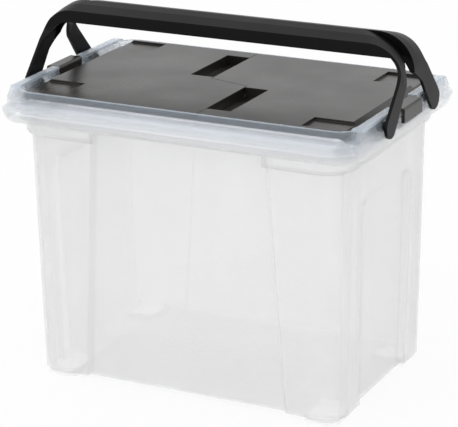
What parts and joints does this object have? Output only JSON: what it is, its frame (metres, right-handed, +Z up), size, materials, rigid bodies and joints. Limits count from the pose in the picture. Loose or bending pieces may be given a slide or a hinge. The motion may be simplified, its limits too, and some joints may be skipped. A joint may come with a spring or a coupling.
{
  "type": "portable file box",
  "caption": "Frosted rectangular file box with wing lids hinged at the short ends and bail handles that meet over the middle.",
  "frame": {"origin": "middle of the box on the surface that the feet stand on", "axes": "+Z up, +X along the long side towards the right lid wing's hinge, -Y towards the front"},
  "size_m": [0.3806, 0.262, 0.355],
  "materials": {
    "frosted_clear": "frosted translucent polypropylene",
    "black_lid": "fine matte texture, black polypropylene",
    "black_handle": "satin black polypropylene"
  },
  "bodies": {
    "tub": {"tub": "frosted_clear"},
    "left_wing": {"left_wing": "black_lid"},
    "right_wing": {"right_wing": "black_lid"},
    "front_handle": {"front_handle": "black_handle"},
    "rear_handle": {"rear_handle": "black_handle"}
  },
  "joints": [
    {"name": "right_wing_hinge", "type": "hinge", "parent": "tub", "child": "right_wing", "pos_m": [0.1832, 0, 0.2845], "axis": [0, 1, 0], "range_deg": [0, 13]},
    {"name": "left_wing_hinge", "type": "hinge", "parent": "tub", "child": "left_wing", "pos_m": [-0.1832, 0, 0.2845], "axis": [0, -1, 0], "range_deg": [0, 13]},
    {"name": "front_handle_pivot", "type": "hinge", "parent": "tub", "child": "front_handle", "pos_m": [0, -0.053, 0.2815], "axis": [1, 0, 0], "range_deg": [0, 112]},
    {"name": "rear_handle_pivot", "type": "hinge", "parent": "tub", "child": "rear_handle", "pos_m": [0, 0.053, 0.2815], "axis": [-1, 0, 0], "range_deg": [0, 112]}
  ]
}
